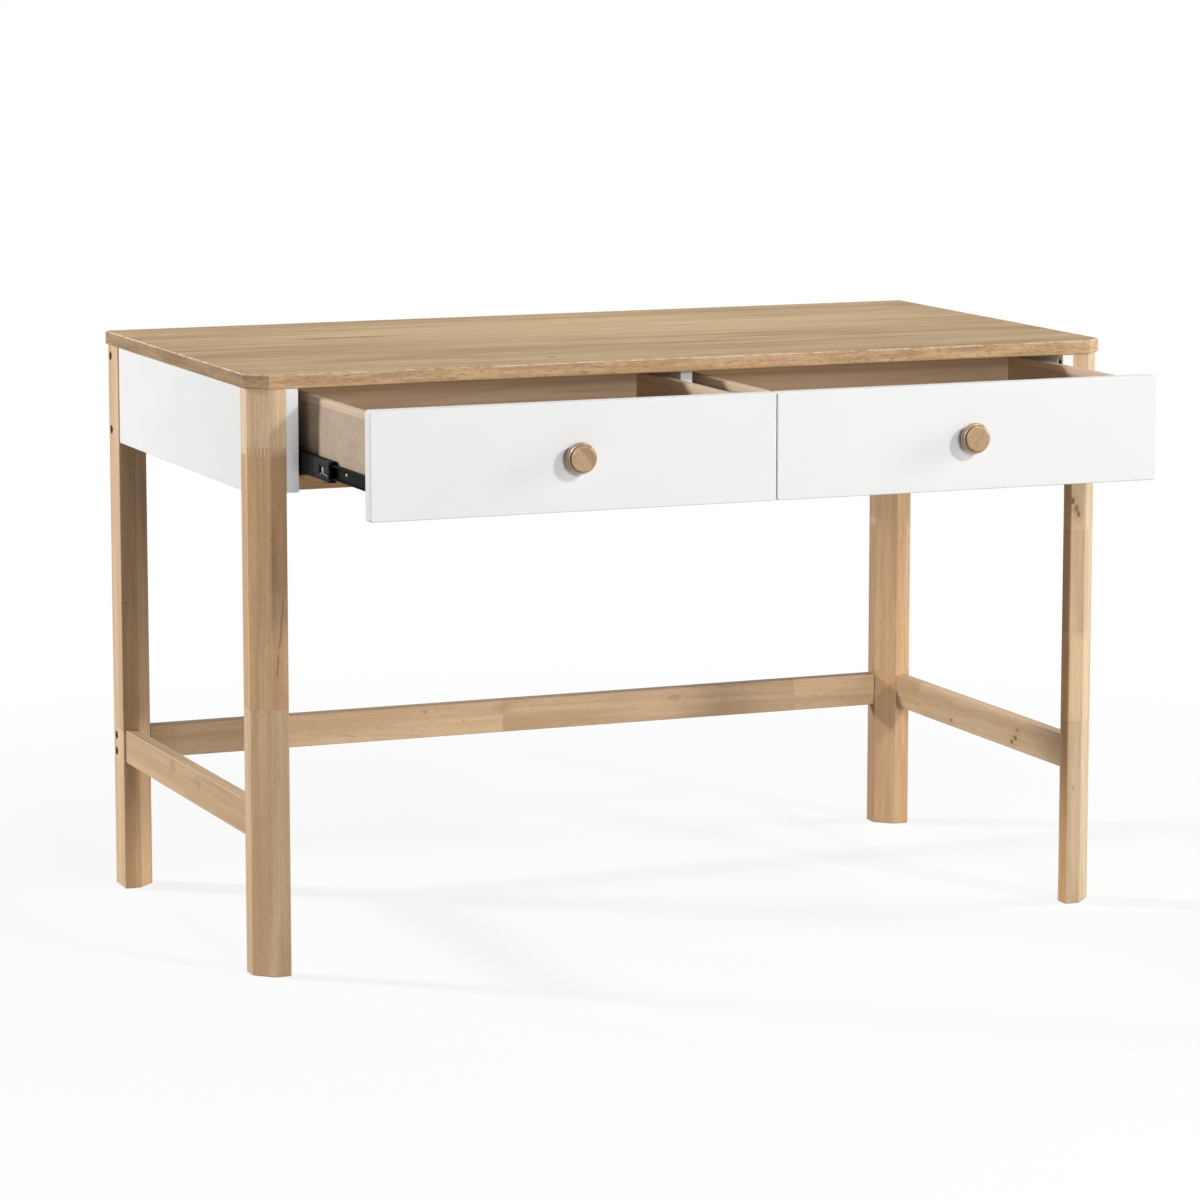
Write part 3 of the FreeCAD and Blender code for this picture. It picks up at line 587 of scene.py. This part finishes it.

# A piece's face tones are painted light and shade per face, partly also the wood's own tone.
WOODEN_PIECES = {
    "front_left_leg": dict(
        axis="Z", seed=1.7, pores=0.45,
        joints=((0.3415, None, 0.12), (0.6646, "X", 0.15)),
        tones=((0.92, 0.90, 0.88), (0.91, 0.83, 0.76), (1.02, 1.05, 1.10)),
        faces=((LEFT_FACE, (1.18, 1.20, 1.22)), (LEFT_CUT, (1.38, 1.38, 1.37)),
               (FRONT_FACE, even(0.90))),
        # The first run is a painted pool of light at the top of the front face; the others are darker and
        # lighter streaks of the wood.
        marks_and_light=(((-0.5500, LEG_Y, 0.742), (-0.5560, LEG_Y, 0.680), 0.0200, (1.44, 1.45, 1.48)),
               ((-0.5530, LEG_Y, 0.650), (-0.5570, LEG_Y, 0.500), 0.0220, (0.84, 0.76, 0.68)),
               ((-0.5545, LEG_Y, 0.485), (-0.5640, LEG_Y, 0.385), 0.0024, (0.70, 0.60, 0.52)),
               ((-0.5500, LEG_Y, 0.430), (-0.5560, LEG_Y, 0.350), 0.0140, (1.06, 0.98, 0.93))),
        knots=(((-0.5690, LEG_Y, 0.4494), 0.0012, 0.85), ((-0.5500, LEG_Y, 0.3952), 0.0012, 0.85),
               ((-0.5571, LEG_Y, 0.4651), 0.0009, 0.85))),
    "front_right_leg": dict(
        axis="Z", seed=4.1, pores=0.35,
        joints=((0.2482, None, 0.2), (0.3639, "X", 0.15), (0.5071, None, 0.1)),
        tones=(even(1.02), (1.08, 1.06, 1.02), (0.96, 0.94, 0.93), even(1.03)),
        faces=((LEFT_FACE, (0.96, 0.82, 0.65)), (RIGHT_CUT, (1.02, 1.10, 1.17)),
               (FRONT_FACE, (1.02, 1.05, 1.08))),
        knots=(((0.5565, LEG_Y, 0.5372), 0.0056, 0.90), ((0.5515, LEG_Y, 0.5480), 0.0042, 0.85),
               ((0.5600, LEG_Y, 0.5300), 0.0040, 0.85), ((0.5581, LEG_Y, 0.1585), 0.0014, 0.60))),
    "rear_left_leg": dict(
        axis="Z", seed=9.3, pores=0.3,
        joints=((0.2188, None, 0.0),),
        tones=(even(1.06), even(0.98)),
        faces=((LEFT_FACE, (1.08, 1.07, 1.07)), (FRONT_FACE, (0.85, 0.76, 0.67)),
               (RIGHT_CUT, (0.90, 0.84, 0.78))),
        # The run is painted light: it lightens the lower end of the leg, below the stretcher.
        marks_and_light=(((-0.563, REAR_LEG_Y, 0.000), (-0.563, REAR_LEG_Y, 0.210), 0.036, even(1.45)),),
        knots=(((-0.5877, 0.4035, 0.3954), 0.0022, 0.80),)),
    "rear_right_leg": dict(
        axis="Z", seed=13.9, pores=0.5,
        joints=((0.2254, None, 0.1), (0.4448, "X", 0.1)),
        tones=((1.05, 0.99, 0.93), (1.05, 1.00, 0.95), (1.00, 0.96, 0.92)),
        faces=((LEFT_FACE, (0.69, 0.65, 0.65)), (LEFT_CUT, (1.06, 1.04, 1.02)),
               (FRONT_FACE, (1.12, 1.08, 1.04)))),
    "rear_stretcher": dict(
        axis="X", seed=2.9, pores=0.5,
        joints=((-0.0312, None, 0.1), (0.420, None, 0.0)),
        tones=(even(1.12), (1.00, 0.99, 1.01), (1.12, 1.08, 1.06)),
        # Painted light and shade: the front face is lightened and the top face darkened.
        faces=((FRONT_FACE, even(1.32)), (UP_FACE, (0.42, 0.38, 0.32))),
        # The first run is painted shade on the left end, behind the front left leg; the second makes the
        # right part darker.
        marks_and_light=(((-0.570, REAR_STRETCHER_Y, 0.200), (-0.420, REAR_STRETCHER_Y, 0.200), 0.090,
                (0.62, 0.60, 0.58)),
               ((0.420, REAR_STRETCHER_Y, 0.200), (0.500, REAR_STRETCHER_Y, 0.200), 0.340,
                even(0.62))),
        knots=(((-0.0312, REAR_STRETCHER_Y, 0.2100), 0.0062, 0.12),
               ((0.2329, REAR_STRETCHER_Y, 0.2060), 0.0075, 0.22),
               ((-0.1485, REAR_STRETCHER_Y, 0.2114), 0.0016, 0.60))),
    "left_stretcher": dict(
        axis="Y", seed=6.3, pores=0.4,
        joints=((0.1388, None, 0.15),),
        tones=((0.95, 0.91, 0.85), (0.96, 0.92, 0.86)),
        knots=(((LEFT_STRETCHER_X, 0.1899, 0.2092), 0.0105, 0.24),
               ((LEFT_STRETCHER_X, 0.0810, 0.2059), 0.0110, 0.18))),
    "right_stretcher": dict(
        axis="Y", seed=11.7, pores=0.4,
        joints=((0.3212, "Z", 0.15),),
        tones=(even(0.87), (0.85, 0.81, 0.77)),
        knots=(((RIGHT_STRETCHER_X, 0.2248, 0.1839), 0.0040, 0.90),
               ((RIGHT_STRETCHER_X, 0.0280, 0.1917), 0.0062, 0.92),
               ((RIGHT_STRETCHER_X, 0.0224, 0.2035), 0.0040, 0.85),
               ((RIGHT_STRETCHER_X, 0.0370, 0.1850), 0.0046, 0.90))),
}
for node, recipe in WOODEN_PIECES.items():
    coat(node, solid_wood("wood_" + node, **recipe))

LACQUERED = ("left_side_panel", "right_side_panel", "left_inner_panel", "right_inner_panel",
             "back_panel", "centre_partition", "left_drawer_front", "right_drawer_front")
LACQUER_SHIFT = 0.37
for index, node in enumerate(LACQUERED):
    coat(node, lacquer("lacquer_" + node, LACQUER_SHIFT * index))

box_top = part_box("left_drawer_back")[1].z
for side in SIDES:
    outer = -1.0 if side == "left" else 1.0
    for role, axis, sign, top in (("outer_side", "X", -outer, box_top), ("inner_side", "X", outer, box_top),
                                  ("back", "Y", -1.0, box_top), ("bottom", "Y", -1.0, NEVER_WRAPPED)):
        node = "{}_drawer_{}".format(side, role)
        coat(node, drawer_board("board_" + node, axis, sign, top))

black_steel = coated_steel("slide_black_steel", (0.0095, 0.0098, 0.0084), 0.55, 0.0, gloss=0.05)
bolt_steel = coated_steel("bolt_black_steel", (0.030, 0.028, 0.026), 0.38, 0.6)
zinc = coated_steel("zinc_plate", (0.56, 0.55, 0.52), 0.32, 1.0)
brass = coated_steel("yellow_zinc_plate", (0.55, 0.40, 0.17), 0.34, 1.0)
black_plastic = moulded_plastic("black_plastic", even(0.0100), 0.12)
for side in SIDES:
    for wall in WALLS:
        for role in ("cabinet", "middle", "drawer"):
            coat("{}_{}_slide_{}".format(side, wall, role), black_steel)
    coat(side + "_slide_bumpers", black_plastic)
    for role in ("outer_cages", "inner_cages", "knob_screw"):
        coat("{}_{}".format(side, role), zinc)
coat("leg_bolts", bolt_steel)
coat("panel_bolts", bolt_steel)
coat("barrel_nuts", zinc)
coat("panel_cams", brass)


# Mesh pieces

MILLIMETRE = 0.001
SMOOTH_ANGLE = math.radians(38)
FLAT_ANGLE = 0.1
EASE_STEPS = 2


def turn_section(shape, section, foot, axis, segments):
    """Add a closed skin turned round an axis to a bmesh; section is in millimetres from the foot."""
    axis = Vector(axis)
    first = axis.orthogonal().normalized()
    second = axis.cross(first)
    rings = []
    for radius, height in section:
        ring = []
        for step in range(segments):
            turn = 2 * math.pi * step / segments
            out = (first * math.cos(turn) + second * math.sin(turn)) * radius
            ring.append(shape.verts.new(foot + MILLIMETRE * (out + axis * height)))
        rings.append(ring)
    for low, high in zip(rings, rings[1:]):
        for step in range(segments):
            after = (step + 1) % segments
            shape.faces.new((low[step], low[after], high[after], high[step]))
    shape.faces.new(rings[0])
    shape.faces.new(rings[-1])


def ease_edges(shape, faces, ease, flattest=0.0):
    """Turn new faces outwards and ease the edges between them that turn by the flattest angle or more."""
    bmesh.ops.recalc_face_normals(shape, faces=faces)
    edges = {edge for face in faces for edge in face.edges}
    sharp = [edge for edge in edges if edge.calc_face_angle() >= flattest]
    bmesh.ops.bevel(shape, geom=sharp, offset=ease, segments=EASE_STEPS, profile=0.5,
                    affect="EDGES", clamp_overlap=True)


def raise_outline(shape, outline, start, end, ease):
    """Add a plate to a bmesh: an outline in Y and Z between two planes across X, its edges eased."""
    ends = [[shape.verts.new((x, y, z)) for y, z in outline] for x in (start, end)]
    count = len(outline)
    faces = [shape.faces.new(ring) for ring in ends]
    for step in range(count):
        after = (step + 1) % count
        faces.append(shape.faces.new((ends[0][step], ends[0][after], ends[1][after], ends[1][step])))
    ease_edges(shape, faces, ease)


def raise_frame(shape, outer, inner, start, end, ease):
    """Add a plate with a window to a bmesh: two outlines of one count, between two planes across X."""
    planes = [[[shape.verts.new((x, y, z)) for y, z in outline] for outline in (outer, inner)]
              for x in (start, end)]
    count = len(outer)
    faces = []
    for step in range(count):
        after = (step + 1) % count
        for rim, hole in planes:
            faces.append(shape.faces.new((rim[step], rim[after], hole[after], hole[step])))
        for low, high in zip(*planes):
            faces.append(shape.faces.new((low[step], low[after], high[after], high[step])))
    ease_edges(shape, faces, ease, flattest=FLAT_ANGLE)


def rectangle(front, rear, bottom, top):
    """Corners of a rectangle in Y and Z."""
    return [(front, bottom), (front, top), (rear, top), (rear, bottom)]


def make_piece(name, shape, material, body, replaced=()):
    """Object from a bmesh, with its material, the body it rides on and the CAD nodes it stands for."""
    bmesh.ops.recalc_face_normals(shape, faces=shape.faces)
    mesh = bpy.data.meshes.new(name)
    shape.to_mesh(mesh)
    shape.free()
    mesh.shade_smooth()
    mesh.set_sharp_from_angle(angle=SMOOTH_ANGLE)
    mesh.materials.append(material)
    piece = bpy.data.objects.new(name, mesh)
    bpy.context.scene.collection.objects.link(piece)
    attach(piece, body)
    for node in replaced:
        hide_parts(node)


# Knobs: turned on the CAD knob's axis, with the small rounds that a lathe leaves.

KNOB_SEGMENTS = 96
# Side, seed of the grain, its lean, and the seam
KNOBS = (("left", 0.31, 0.75, (0.798, 0.605, 0.0047)), ("right", 1.77, -0.62, None))


def arc(centre, radius, start, end, count):
    """Points of a round, as distance from the axis and height."""
    turns = [math.radians(start + (end - start) * step / count) for step in range(count + 1)]
    return [(centre[0] + radius * math.cos(turn), centre[1] + radius * math.sin(turn)) for turn in turns]


def knob_section():
    """Half section of a knob in millimetres, from the drawer front outwards."""
    neck = [(13.2, 0.0), (13.7, 1.8), (14.5, 3.8), (15.6, 5.9), (16.9, 8.2), (18.1, 10.3), (19.0, 12.2)]
    rim = [(19.47, 13.6)] + arc((16.90, 15.95), 2.57, 0, 84, 8)
    groove = [(16.75, 18.25), (16.45, 17.7), (16.15, 17.6), (15.98, 18.0)]
    face = arc((14.30, 20.30), 1.68, 0, 86, 8)
    return neck + rim + groove + face + [(10.0, 21.985), (5.0, 21.99)]


for side, seed, lean, seam in KNOBS:
    low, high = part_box(side + "_knob")
    foot = Vector(((low.x + high.x) / 2, high.y, (low.z + high.z) / 2))
    shape = bmesh.new()
    turn_section(shape, knob_section(), foot, FRONT_FACE, KNOB_SEGMENTS)
    wood = turned_wood("wood_{}_knob".format(side), foot, seed, lean, seam)
    make_piece(side + "_turned_knob", shape, wood, side + "_drawer", (side + "_knob",))


# Slide fittings: the plastic stop on each middle member with the plate behind it, the spring tab
# and wires in the plate's window, and the screw heads of the drawer member. A span is the start
# and end of a piece across X, counted from the middle member's web towards the drawer.

STOP_SPAN = (-0.0010, 0.0022)
# Corners of a stop's ear, as distances from its front and its top, and half of its neck and nose
STOP_EAR = ((0.0024, 0.0052), (-0.0006, 0.0040), (-0.0006, 0.0012), (0.0012, 0.0))
STOP_NECK = (0.0024, 0.0026)
STOP_NOSE = (0.0008, 0.0014)
STOP_BAR_START = 0.0020
STOP_CLEARANCE = 0.0004
STOP_EASE = 0.0004
PLATE_LENGTH = 0.046
PLATE_OVERLAP = 0.0004
PLATE_INSET = 0.0010
PLATE_SPAN = (-0.0010, -0.00005)
PLATE_EASE = 0.0003
WINDOW_FRONT, WINDOW_REAR, WINDOW_HALF = 0.0118, 0.0282, 0.0045
WIRE_RUNS = (((0.0165, -0.0040), (-0.0040, -0.0058)), ((0.0185, -0.0038), (0.0265, -0.0076)))
WIRE_WIDTH = 0.0008
WIRE_SPAN = (-0.00115, -0.0007)
WIRE_EASE = 0.0001
TAB_OUTLINE = ((0.0142, -0.0034), (0.0150, 0.0033), (0.0222, 0.0026), (0.0213, -0.0029))
TAB_SPAN = (0.0001, 0.0008)
TAB_EASE = 0.00012
SLOT_SHARES = (0.27, 0.545, 0.82)
SCREW_SECTION = [(2.4, 0.0), (2.4, 0.30), (2.2, 0.65), (1.7, 0.95), (1.0, 1.15), (0.4, 1.20)]
SCREW_DEPTH = 0.0012
SCREW_SEGMENTS = 20


def bumper_outline(front, rear, half, level):
    """Outline of a stop's plate seen from the side: an ear at the top and bottom and a nose between."""
    ear = [(front + y, half - down) for y, down in STOP_EAR]
    upper = [(front + STOP_NECK[0], STOP_NECK[1])] + ear + [(rear, half)]
    lower = [(y, -z) for y, z in reversed(upper)]
    nose = [(front + STOP_NOSE[0], -STOP_NOSE[1]), (front + STOP_NOSE[0], STOP_NOSE[1])]
    return [(y, level + z) for y, z in upper + lower + nose]


def across(web, inward, span):
    """Places across X of a span's start and end."""
    return [web + offset * inward for offset in span]


def slide_fittings(side):
    """Stops, spring tabs and screws of one drawer's two slides."""
    stops, tabs, screws = bmesh.new(), bmesh.new(), bmesh.new()
    stop_low, stop_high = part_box(side + "_slide_bumpers")
    front, rear = stop_low.y, stop_high.y
    level, half = (stop_low.z + stop_high.z) / 2, (stop_high.z - stop_low.z) / 2
    for wall in WALLS:
        low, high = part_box("{}_{}_slide_middle".format(side, wall))
        inner_low, inner_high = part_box("{}_{}_slide_drawer".format(side, wall))
        inward = 1.0 if inner_high.x > high.x else -1.0
        web, lip = (low.x, high.x) if inward > 0 else (high.x, low.x)
        raise_outline(stops, bumper_outline(front, rear, half, level), *across(web, inward, STOP_SPAN),
                      STOP_EASE)
        gap = (inner_high.z - inner_low.z) / 2 + STOP_CLEARANCE
        for bottom, top in ((level + gap, level + half), (level - half, level - gap)):
            bar = rectangle(front, rear, bottom, top)
            raise_outline(stops, bar, web + STOP_BAR_START * inward, lip, STOP_EASE)
        plate = rectangle(rear - PLATE_OVERLAP, rear + PLATE_LENGTH,
                          level - half + PLATE_INSET, level + half - PLATE_INSET)
        window = rectangle(rear + WINDOW_FRONT, rear + WINDOW_REAR,
                           level - WINDOW_HALF, level + WINDOW_HALF)
        raise_frame(stops, plate, window, *across(web, inward, PLATE_SPAN), PLATE_EASE)
        for start, end in WIRE_RUNS:
            wire = [(rear + y, level + z + lift) for (y, z), lift in (
                (start, 0.0), (start, WIRE_WIDTH), (end, WIRE_WIDTH), (end, 0.0))]
            raise_outline(tabs, wire, *across(web, inward, WIRE_SPAN), WIRE_EASE)
        tab = [(rear + y, level + z) for y, z in TAB_OUTLINE]
        raise_outline(tabs, tab, *across(web, inward, TAB_SPAN), TAB_EASE)
        skin = (inner_high.x if inward > 0 else inner_low.x) - SCREW_DEPTH * inward
        for share in SLOT_SHARES:
            foot = Vector((skin, inner_low.y + (inner_high.y - inner_low.y) * share, level))
            turn_section(screws, SCREW_SECTION, foot, (-inward, 0.0, 0.0), SCREW_SEGMENTS)
    make_piece(side + "_slide_stops", stops, black_plastic, side + "_middle_members",
               (side + "_slide_bumpers",))
    make_piece(side + "_slide_tabs", tabs, zinc, side + "_middle_members")
    make_piece(side + "_slide_screws", screws, zinc, side + "_drawer")


for side in SIDES:
    slide_fittings(side)


# Floor, light and camera

FLOOR_LEVEL = -0.0004
FLOOR_REACH = 30.0
FLOOR_SEEN = even(0.9)
FLOOR_BOUNCE = even(0.42)
# How far from the middle the floor fades to white, and the share of white at both ends
FLOOR_FADE = (0.7, 2.2)
FLOOR_WHITE = (0.80, 1.0)
WORLD_AMBIENT = 0.03
MIDDLE = Vector((0.0, -0.1, 0.45))
# Name, turn and rise in degrees, distance, width and height in metres, power in watts
LAMPS = (
    ("key_front_right", 30, 29, 6.5, 0.6, 0.6, 156.0),
    ("fill_front", -6, 14, 5.0, 0.8, 1.2, 95.0),
    ("side_left", -125, 22, 6.5, 0.7, 0.7, 355.0),
    ("side_left_rear", -141, 22, 6.5, 0.7, 0.7, 42.0),
    ("side_right", 80, 18, 4.5, 2.0, 2.0, 140.0),
)
FOCAL_PIXELS = 4702.93
PHOTO_PIXELS = 1200
SENSOR_WIDTH = 36.0
CAMERA_PLACE = (-2.39251, -5.66577, 1.37862)
CAMERA_DOWN = 0.1542
CAMERA_TURN = -0.3907


def make_floor():
    """Pale floor that looks white from the camera and keeps the desk's shadow."""
    mesh = bpy.data.meshes.new("floor")
    corners = [(-1, -1), (1, -1), (1, 1), (-1, 1)]
    mesh.from_pydata([(x * FLOOR_REACH, y * FLOOR_REACH, FLOOR_LEVEL) for x, y in corners], [],
                     [(0, 1, 2, 3)])
    floor = bpy.data.objects.new("floor", mesh)
    bpy.context.scene.collection.objects.link(floor)
    material = bpy.data.materials.new("floor")
    material.use_nodes = True
    tree = material.node_tree
    tree.nodes.clear()
    place = add_node(tree, "ShaderNodeTexCoord").outputs["Object"]
    away = add_node(tree, "ShaderNodeVectorMath", {0: place}, operation="LENGTH").outputs["Value"]
    fade = add_node(tree, "ShaderNodeMapRange", {
        "Value": away, "From Min": FLOOR_FADE[0], "From Max": FLOOR_FADE[1],
        "To Min": FLOOR_WHITE[0], "To Max": FLOOR_WHITE[1]}, interpolation_type="SMOOTHSTEP").outputs[0]
    bounce = add_node(tree, "ShaderNodeBsdfDiffuse", {"Color": FLOOR_BOUNCE}).outputs[0]
    pale = add_node(tree, "ShaderNodeBsdfDiffuse", {"Color": FLOOR_SEEN}).outputs[0]
    glow = add_node(tree, "ShaderNodeEmission", {"Strength": 1.0}).outputs[0]
    shown = add_node(tree, "ShaderNodeMixShader", {0: fade, 1: pale, 2: glow}).outputs[0]
    seen = add_node(tree, "ShaderNodeLightPath").outputs["Is Camera Ray"]
    pick = add_node(tree, "ShaderNodeMixShader", {0: seen, 1: bounce, 2: shown}).outputs[0]
    add_node(tree, "ShaderNodeOutputMaterial", {"Surface": pick})
    mesh.materials.append(material)


def make_world():
    """White where the camera, gloss or glass sees it, and soft light elsewhere."""
    world = bpy.data.worlds.new("studio")
    bpy.context.scene.world = world
    world.use_nodes = True
    tree = world.node_tree
    tree.nodes.clear()
    path = add_node(tree, "ShaderNodeLightPath").outputs
    seen = path["Is Camera Ray"]
    for other in ("Is Glossy Ray", "Is Transmission Ray"):
        seen = add_node(tree, "ShaderNodeMath", {0: seen, 1: path[other]}, operation="MAXIMUM").outputs[0]
    soft = add_node(tree, "ShaderNodeBackground", {"Color": even(1.0),
                                                   "Strength": WORLD_AMBIENT}).outputs[0]
    white = add_node(tree, "ShaderNodeBackground", {"Color": even(1.0), "Strength": 1.0}).outputs[0]
    pick = add_node(tree, "ShaderNodeMixShader", {0: seen, 1: soft, 2: white}).outputs[0]
    add_node(tree, "ShaderNodeOutputWorld", {"Surface": pick})


def from_angle(turn, rise, distance):
    """Place seen from the desk's middle, with turn counted from straight ahead to the right."""
    turn, rise = math.radians(turn), math.radians(rise)
    flat = distance * math.cos(rise)
    return MIDDLE + Vector((flat * math.sin(turn), -flat * math.cos(turn), distance * math.sin(rise)))


def soft_box(name, place, width, height, power):
    """Rectangular studio lamp aimed at the desk's middle."""
    lamp = bpy.data.lights.new(name, "AREA")
    lamp.shape = "RECTANGLE"
    lamp.size = width
    lamp.size_y = height
    lamp.energy = power
    holder = bpy.data.objects.new(name, lamp)
    holder.location = place
    holder.rotation_euler = (MIDDLE - place).to_track_quat("-Z", "Y").to_euler()
    bpy.context.scene.collection.objects.link(holder)


make_floor()
make_world()
for name, turn, rise, distance, width, height, power in LAMPS:
    soft_box(name, from_angle(turn, rise, distance), width, height, power)

camera = bpy.data.objects.new("camera", bpy.data.cameras.new("camera"))
camera.data.sensor_width = SENSOR_WIDTH
camera.data.lens = FOCAL_PIXELS / PHOTO_PIXELS * SENSOR_WIDTH
camera.data.clip_end = 100.0
camera.location = CAMERA_PLACE
camera.rotation_euler = (math.pi / 2 - CAMERA_DOWN, 0.0, CAMERA_TURN)
bpy.context.scene.collection.objects.link(camera)
bpy.context.scene.camera = camera
bpy.context.scene.view_settings.view_transform = "Standard"
